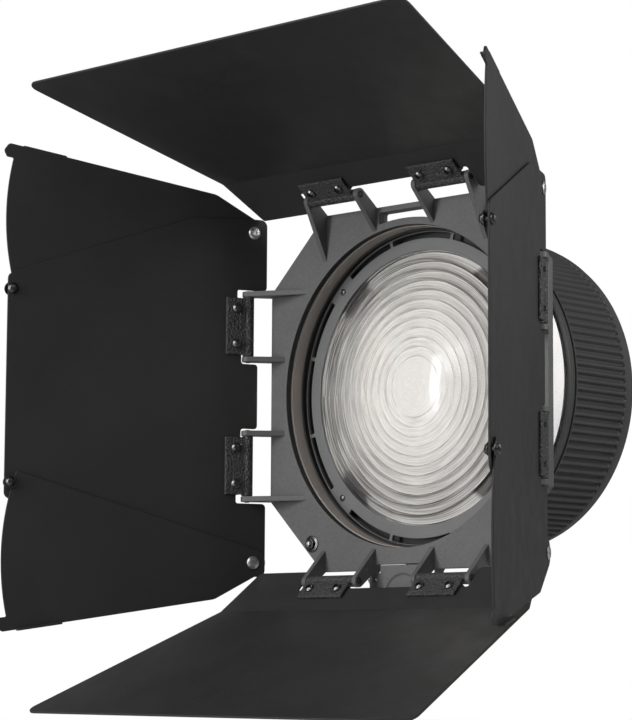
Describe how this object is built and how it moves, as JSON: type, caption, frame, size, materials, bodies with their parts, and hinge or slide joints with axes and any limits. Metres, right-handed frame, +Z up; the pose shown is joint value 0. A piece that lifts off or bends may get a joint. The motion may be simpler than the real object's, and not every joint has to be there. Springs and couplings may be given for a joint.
{
  "type": "fresnel lens attachment",
  "caption": "Focusing Fresnel lens attachment for a studio light, with four hinged barn doors, swivelling corner leaves and a rear bayonet.",
  "frame": {"origin": "Centre of the rear bayonet's seat face, on the lens axis.", "axes": "+Z up, lens axis along Y with the lens facing -Y, +X to the right of the beam as seen from the front."},
  "size_m": [0.4541, 0.3823, 0.4471],
  "materials": {
    "black_sheet": "matte black powder coat",
    "black_casting": "satin dark grey paint",
    "crinkle_black": "crinkle black powder coat",
    "ring_plastic": "satin moulded",
    "grip_rubber": "ribbed matte",
    "white_paint": "satin off-white",
    "lens_glass": "moulded prisms, stippled back",
    "grey_trim": "satin grey",
    "gasket_silicone": "matte",
    "bright_steel": "plated",
    "black_steel": "black oxide",
    "bayonet_alloy": "machined"
  },
  "bodies": {
    "mount_body": {"rear_housing": "ring_plastic", "bayonet_ring": "bayonet_alloy"},
    "focus_body": {"focus_ring": "ring_plastic", "focus_grip": "grip_rubber"},
    "barrel_body": {"lens_barrel": "white_paint", "fresnel_lens": "lens_glass", "lens_retaining_ring": "grey_trim", "lens_gasket": "gasket_silicone", "guide_pin_1": "bright_steel", "guide_pin_2": "bright_steel", "guide_pin_3": "bright_steel"},
    "frame_body": {"door_frame": "black_casting", "retaining_clip_left": "black_steel", "retaining_clip_right": "black_steel", "clip_bolt_left": "bright_steel", "clip_bolt_right": "bright_steel", "latch_pin": "bright_steel", "latch_spring": "bright_steel", "hinge_pin_top_left": "black_steel", "hinge_pin_top_right": "black_steel", "hinge_pin_bottom_left": "black_steel", "hinge_pin_bottom_right": "black_steel", "hinge_pin_left_lower": "black_steel", "hinge_pin_left_upper": "black_steel", "hinge_pin_right_upper": "black_steel", "hinge_pin_right_lower": "black_steel"},
    "latch_body": {"latch_lever": "black_casting"},
    "top_door_body": {"door_top": "black_sheet", "hinge_knuckle_top_left": "crinkle_black", "hinge_backing_top_left": "crinkle_black", "hinge_knuckle_top_right": "crinkle_black", "hinge_backing_top_right": "crinkle_black"},
    "bottom_door_body": {"door_bottom": "black_sheet", "hinge_knuckle_bottom_left": "crinkle_black", "hinge_backing_bottom_left": "crinkle_black", "hinge_knuckle_bottom_right": "crinkle_black", "hinge_backing_bottom_right": "crinkle_black"},
    "left_door_body": {"door_left": "black_sheet", "hinge_knuckle_left_lower": "crinkle_black", "hinge_backing_left_lower": "crinkle_black", "leaf_rivet_left_lower": "bright_steel", "leaf_stop_left_lower": "black_steel", "hinge_knuckle_left_upper": "crinkle_black", "hinge_backing_left_upper": "crinkle_black", "leaf_rivet_left_upper": "bright_steel", "leaf_stop_left_upper": "black_steel"},
    "left_lower_leaf_body": {"leaf_left_lower": "black_sheet"},
    "left_upper_leaf_body": {"leaf_left_upper": "black_sheet"},
    "right_door_body": {"door_right": "black_sheet", "hinge_knuckle_right_upper": "crinkle_black", "hinge_backing_right_upper": "crinkle_black", "leaf_rivet_right_upper": "bright_steel", "leaf_stop_right_upper": "black_steel", "hinge_knuckle_right_lower": "crinkle_black", "hinge_backing_right_lower": "crinkle_black", "leaf_rivet_right_lower": "bright_steel", "leaf_stop_right_lower": "black_steel"},
    "right_upper_leaf_body": {"leaf_right_upper": "black_sheet"},
    "right_lower_leaf_body": {"leaf_right_lower": "black_sheet"}
  },
  "joints": [
    {"name": "focus_turn", "type": "hinge", "parent": "mount_body", "child": "focus_body", "pos_m": [0, -0.09, 0], "axis": [0, 1, 0], "range_deg": [-20, 84]},
    {"name": "focus_slide", "type": "slide", "parent": "mount_body", "child": "barrel_body", "axis": [0, -1, 0], "range_m": [-0.00667, 0.0282]},
    {"name": "doors_turn", "type": "hinge", "parent": "barrel_body", "child": "frame_body", "pos_m": [0, -0.1612, 0], "axis": [0, 1, 0], "continuous": true},
    {"name": "latch_press", "type": "hinge", "parent": "frame_body", "child": "latch_body", "pos_m": [0, -0.1646, -0.1384], "axis": [1, 0, 0], "range_deg": [-20, 0], "stiffness_Nm_per_rad": 0.12},
    {"name": "top_hinge", "type": "hinge", "parent": "frame_body", "child": "top_door_body", "pos_m": [0, -0.185, 0.1398], "axis": [1, 0, 0], "range_deg": [-50, 63]},
    {"name": "bottom_hinge", "type": "hinge", "parent": "frame_body", "child": "bottom_door_body", "pos_m": [0, -0.185, -0.1398], "axis": [-1, 0, 0], "range_deg": [-44, 69]},
    {"name": "left_hinge", "type": "hinge", "parent": "frame_body", "child": "left_door_body", "pos_m": [-0.1398, -0.185, 0], "axis": [0, 0, -1], "range_deg": [-63, 66]},
    {"name": "right_hinge", "type": "hinge", "parent": "frame_body", "child": "right_door_body", "pos_m": [0.1398, -0.185, 0], "axis": [0, 0, 1], "range_deg": [-68, 61]},
    {"name": "left_lower_leaf_swivel", "type": "hinge", "parent": "left_door_body", "child": "left_lower_leaf_body", "pos_m": [-0.13814, -0.18119, -0.1241], "axis": [-0.9171, 0.3987, 0], "range_deg": [0, 28]},
    {"name": "left_upper_leaf_swivel", "type": "hinge", "parent": "left_door_body", "child": "left_upper_leaf_body", "pos_m": [-0.13814, -0.18119, 0.1241], "axis": [0.9171, -0.3987, 0], "range_deg": [0, 28]},
    {"name": "right_upper_leaf_swivel", "type": "hinge", "parent": "right_door_body", "child": "right_upper_leaf_body", "pos_m": [0.13782, -0.18135, 0.1241], "axis": [0.8788, 0.4772, 0], "range_deg": [0, 28]},
    {"name": "right_lower_leaf_swivel", "type": "hinge", "parent": "right_door_body", "child": "right_lower_leaf_body", "pos_m": [0.13782, -0.18135, -0.1241], "axis": [-0.8788, -0.4772, 0], "range_deg": [0, 28]}
  ],
  "couplings": [
    {"joint": "focus_slide", "follows": "focus_turn", "m_per_rad": 0.019099}
  ]
}
